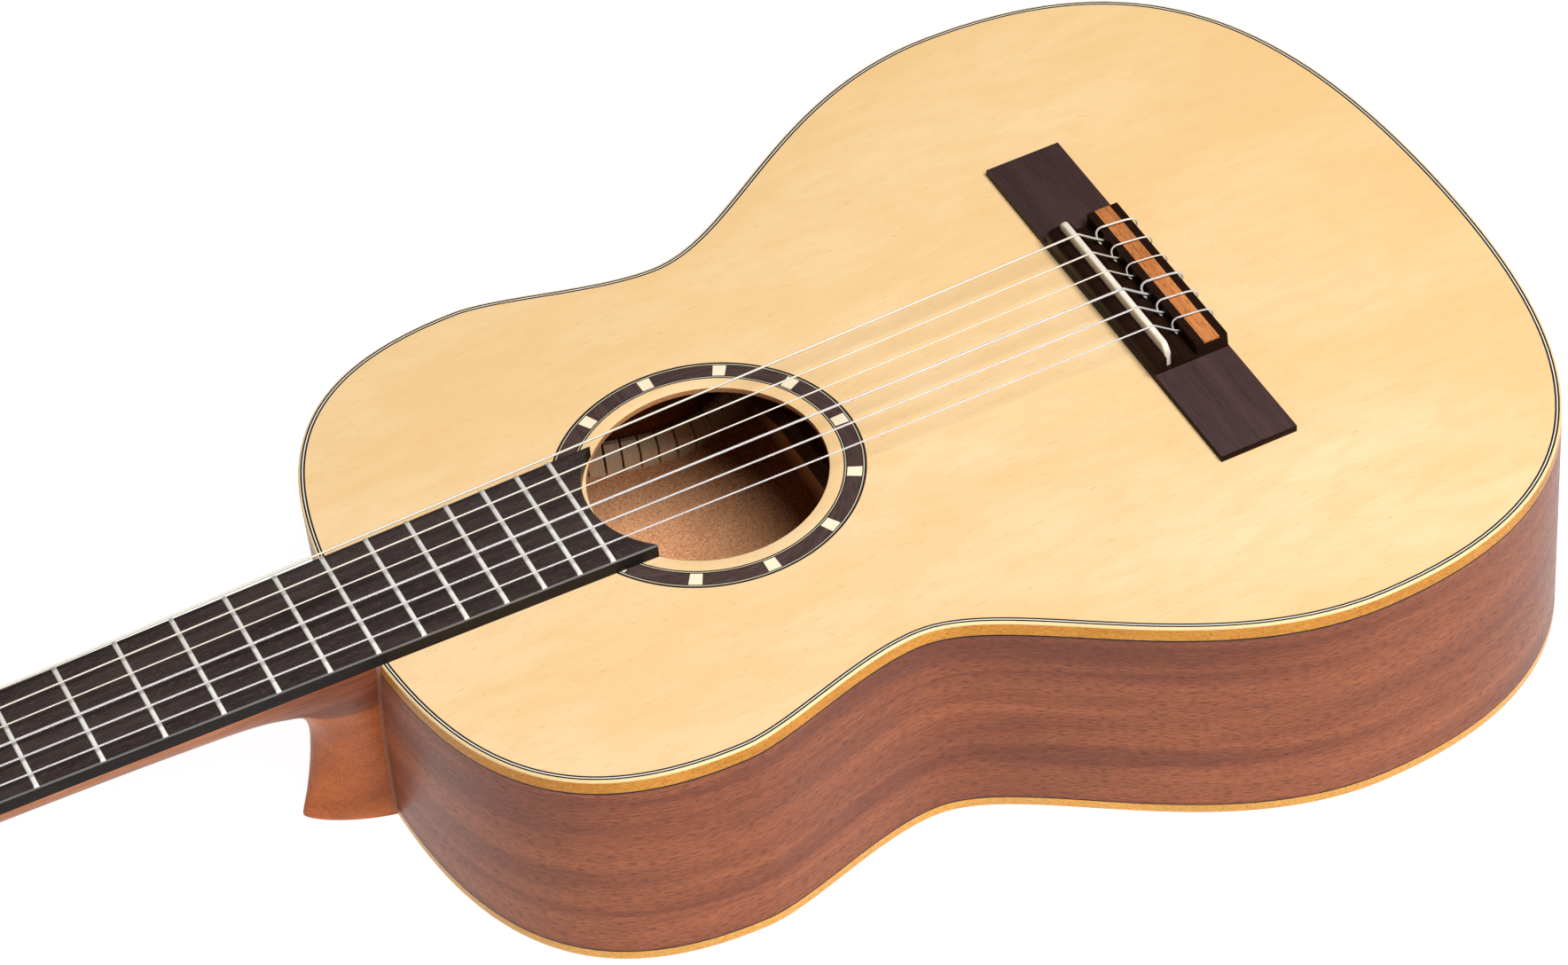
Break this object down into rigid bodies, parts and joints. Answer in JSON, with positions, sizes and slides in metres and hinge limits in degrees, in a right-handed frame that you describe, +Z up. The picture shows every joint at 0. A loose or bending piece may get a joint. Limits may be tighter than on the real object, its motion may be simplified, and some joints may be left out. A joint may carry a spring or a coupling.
{
  "type": "classical guitar",
  "caption": "Nylon-string classical guitar on its back: hollow waisted body, soundhole, tie bridge, slotted head with worm-geared string rollers that turn.",
  "frame": {"origin": "centre of the bounding box in plan, on the plane the back lies on", "axes": "+X across to the bass strings' side, +Y along the neck from tail to head, +Z up out of the soundboard, with the back flat on z = 0"},
  "size_m": [0.3724, 0.9838, 0.1181],
  "materials": {
    "spruce": "satin varnish",
    "brace_spruce": "bare",
    "mahogany": "gloss varnish",
    "neck_wood": "satin varnish",
    "maple_binding": "gloss varnish",
    "back_maple": "gloss varnish",
    "lining_wood": "bare",
    "block_wood": "bare",
    "rosewood_board": "oiled",
    "rosewood_bridge": "oiled",
    "rosewood_veneer": "gloss varnish",
    "rosette_wood": "satin varnish",
    "orange_inlay": "oiled",
    "bone": "polished",
    "fret_metal": "polished",
    "wound_string": "bright",
    "nylon_string": "clear",
    "plate_brass": "polished",
    "roller_white": "smooth",
    "button_pearl": "pearly"
  },
  "bodies": {
    "guitar": {"soundboard": "spruce", "rosette": "rosette_wood", "back": "mahogany", "top_binding": "maple_binding", "back_binding": "back_maple", "rib_bass": "mahogany", "rib_treble": "mahogany", "top_lining": "lining_wood", "back_lining": "lining_wood", "neck_block": "block_wood", "tail_block": "block_wood", "harmonic_bar_upper": "brace_spruce", "harmonic_bar_lower": "brace_spruce", "fan_bracing": "brace_spruce", "back_bracing": "brace_spruce", "neck": "neck_wood", "head_veneer": "rosewood_veneer", "fingerboard": "rosewood_board", "fret_1": "fret_metal", "fret_2": "fret_metal", "fret_3": "fret_metal", "fret_4": "fret_metal", "fret_5": "fret_metal", "fret_6": "fret_metal", "fret_7": "fret_metal", "fret_8": "fret_metal", "fret_9": "fret_metal", "fret_10": "fret_metal", "fret_11": "fret_metal", "fret_12": "fret_metal", "fret_13": "fret_metal", "fret_14": "fret_metal", "fret_15": "fret_metal", "fret_16": "fret_metal", "fret_17": "fret_metal", "fret_18": "fret_metal", "nut": "bone", "bridge": "rosewood_bridge", "tie_block_inlay": "orange_inlay", "saddle": "bone", "tuner_plate_bass": "plate_brass", "tuner_plate_treble": "plate_brass", "string_E_bass": "wound_string", "string_A": "wound_string", "string_D": "wound_string", "string_G": "nylon_string", "string_B": "nylon_string", "string_E_treble": "nylon_string"},
    "roller_E_bass": {"string_roller_E_bass": "roller_white"},
    "button_E_bass": {"tuner_button_E_bass": "button_pearl"},
    "roller_A": {"string_roller_A": "roller_white"},
    "button_A": {"tuner_button_A": "button_pearl"},
    "roller_D": {"string_roller_D": "roller_white"},
    "button_D": {"tuner_button_D": "button_pearl"},
    "roller_G": {"string_roller_G": "roller_white"},
    "button_G": {"tuner_button_G": "button_pearl"},
    "roller_B": {"string_roller_B": "roller_white"},
    "button_B": {"tuner_button_B": "button_pearl"},
    "roller_E_treble": {"string_roller_E_treble": "roller_white"},
    "button_E_treble": {"tuner_button_E_treble": "button_pearl"}
  },
  "joints": [
    {"name": "roller_spin_E_bass", "type": "hinge", "parent": "guitar", "child": "roller_E_bass", "pos_m": [0.0145, 0.36396, 0.07415], "axis": [1, 0, 0], "continuous": true},
    {"name": "button_spin_E_bass", "type": "hinge", "parent": "guitar", "child": "button_E_bass", "pos_m": [0.0369, 0.37239, 0.07181], "axis": [0, 0.2675, 0.9636], "continuous": true},
    {"name": "roller_spin_A", "type": "hinge", "parent": "guitar", "child": "roller_A", "pos_m": [0.0145, 0.39768, 0.06479], "axis": [1, 0, 0], "continuous": true},
    {"name": "button_spin_A", "type": "hinge", "parent": "guitar", "child": "button_A", "pos_m": [0.0369, 0.40611, 0.06245], "axis": [0, 0.2675, 0.9636], "continuous": true},
    {"name": "roller_spin_D", "type": "hinge", "parent": "guitar", "child": "roller_D", "pos_m": [0.0145, 0.4314, 0.05543], "axis": [1, 0, 0], "continuous": true},
    {"name": "button_spin_D", "type": "hinge", "parent": "guitar", "child": "button_D", "pos_m": [0.0369, 0.43984, 0.05309], "axis": [0, 0.2675, 0.9636], "continuous": true},
    {"name": "roller_spin_G", "type": "hinge", "parent": "guitar", "child": "roller_G", "pos_m": [-0.0145, 0.4314, 0.05543], "axis": [1, 0, 0], "continuous": true},
    {"name": "button_spin_G", "type": "hinge", "parent": "guitar", "child": "button_G", "pos_m": [-0.0369, 0.43984, 0.05309], "axis": [0, 0.2675, 0.9636], "continuous": true},
    {"name": "roller_spin_B", "type": "hinge", "parent": "guitar", "child": "roller_B", "pos_m": [-0.0145, 0.39768, 0.06479], "axis": [1, 0, 0], "continuous": true},
    {"name": "button_spin_B", "type": "hinge", "parent": "guitar", "child": "button_B", "pos_m": [-0.0369, 0.40611, 0.06245], "axis": [0, 0.2675, 0.9636], "continuous": true},
    {"name": "roller_spin_E_treble", "type": "hinge", "parent": "guitar", "child": "roller_E_treble", "pos_m": [-0.0145, 0.36396, 0.07415], "axis": [1, 0, 0], "continuous": true},
    {"name": "button_spin_E_treble", "type": "hinge", "parent": "guitar", "child": "button_E_treble", "pos_m": [-0.0369, 0.37239, 0.07181], "axis": [0, 0.2675, 0.9636], "continuous": true}
  ],
  "couplings": [
    {"joint": "button_spin_E_bass", "follows": "roller_spin_E_bass", "ratio": -14},
    {"joint": "button_spin_A", "follows": "roller_spin_A", "ratio": -14},
    {"joint": "button_spin_D", "follows": "roller_spin_D", "ratio": -14},
    {"joint": "button_spin_G", "follows": "roller_spin_G", "ratio": 14},
    {"joint": "button_spin_B", "follows": "roller_spin_B", "ratio": 14},
    {"joint": "button_spin_E_treble", "follows": "roller_spin_E_treble", "ratio": 14}
  ]
}
